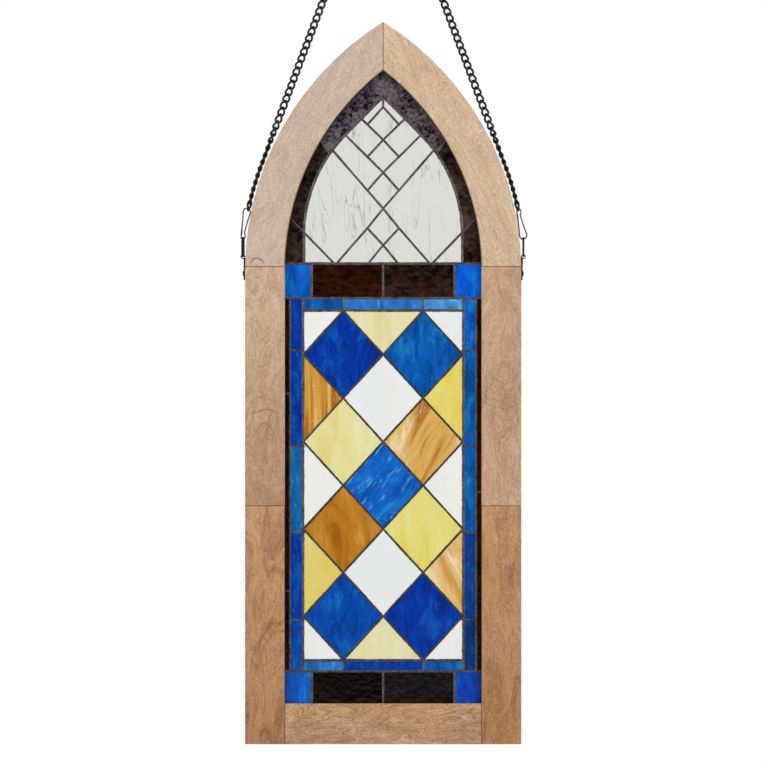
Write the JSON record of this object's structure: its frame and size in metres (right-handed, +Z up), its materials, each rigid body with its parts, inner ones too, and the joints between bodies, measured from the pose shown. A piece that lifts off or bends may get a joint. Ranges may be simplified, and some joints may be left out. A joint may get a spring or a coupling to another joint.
{
  "type": "stained glass window panel",
  "caption": "Pointed window panel of leaded coloured glass in a wood frame, with a diamond field under a clear lattice head, made to hang by a chain from one hook.",
  "frame": {"origin": "middle of the hanging link, which goes over a hook or nail", "axes": "+Z up along the hanging direction, +X to the viewer's right, the front looks along -Y"},
  "size_m": [0.3436, 0.02, 1.0792],
  "materials": {
    "wood_pale": "oiled mango wood, pale, open pores",
    "wood_mid": "oiled mango wood, mid brown, open pores",
    "wood_warm": "oiled mango wood, warm brown, open pores",
    "solder": "lumpy solder with dark patina",
    "glass_blue": "streaky cobalt opalescent glass",
    "glass_white": "dense white opal glass",
    "glass_yellow": "wispy yellow opalescent glass",
    "glass_amber": "wispy amber opalescent glass",
    "glass_dark": "near-black red-brown hammered glass",
    "glass_clear": "clear glass with drawn ripples",
    "nickel_wire": "nickel-plated spring wire",
    "hanger_steel": "dark bronzed steel",
    "black_chain": "black enamelled steel"
  },
  "bodies": {
    "root": {"field_row1_left_white": "glass_white", "field_row1_middle_yellow": "glass_yellow", "field_row1_right_white": "glass_white", "field_row2_left_blue": "glass_blue", "field_row2_right_blue": "glass_blue", "field_row3_left_amber": "glass_amber", "field_row3_middle_white": "glass_white", "field_row3_right_yellow": "glass_yellow", "field_row4_left_yellow": "glass_yellow", "field_row4_right_amber": "glass_amber", "field_row5_left_white": "glass_white", "field_row5_middle_blue": "glass_blue", "field_row5_right_white": "glass_white", "field_row6_left_amber": "glass_amber", "field_row6_right_yellow": "glass_yellow", "field_row7_left_yellow": "glass_yellow", "field_row7_middle_white": "glass_white", "field_row7_right_amber": "glass_amber", "field_row8_left_blue": "glass_blue", "field_row8_right_blue": "glass_blue", "field_row9_left_white": "glass_white", "field_row9_middle_yellow": "glass_yellow", "field_row9_right_white": "glass_white", "head_square_left_blue": "glass_blue", "head_block_left_dark": "glass_dark", "head_block_right_dark": "glass_dark", "head_square_right_blue": "glass_blue", "foot_square_left_blue": "glass_blue", "foot_block_left_dark": "glass_dark", "foot_block_right_dark": "glass_dark", "foot_square_right_blue": "glass_blue", "edge_strip_left_dark": "glass_dark", "edge_strip_right_dark": "glass_dark", "arch_lower_right_dark": "glass_dark", "arch_lower_left_dark": "glass_dark", "arch_middle_right_dark": "glass_dark", "arch_middle_left_dark": "glass_dark", "arch_upper_right_dark": "glass_dark", "arch_upper_left_dark": "glass_dark", "clear_light": "glass_clear", "border_ring_blue": "glass_blue", "solder_lattice": "solder", "frame_bottom_rail": "wood_warm", "frame_lower_stile_left": "wood_warm", "frame_upper_stile_left": "wood_mid", "frame_arch_left": "wood_pale", "frame_lower_stile_right": "wood_warm", "frame_upper_stile_right": "wood_mid", "frame_arch_right": "wood_pale", "hanger_strap_left": "hanger_steel", "strap_screw_left": "hanger_steel", "hanger_ring_left": "hanger_steel", "snap_clip_left": "nickel_wire", "chain_left": "black_chain", "hanger_strap_right": "hanger_steel", "strap_screw_right": "hanger_steel", "hanger_ring_right": "hanger_steel", "snap_clip_right": "nickel_wire", "chain_right": "black_chain", "hanging_link": "black_chain"}
  },
  "joints": []
}
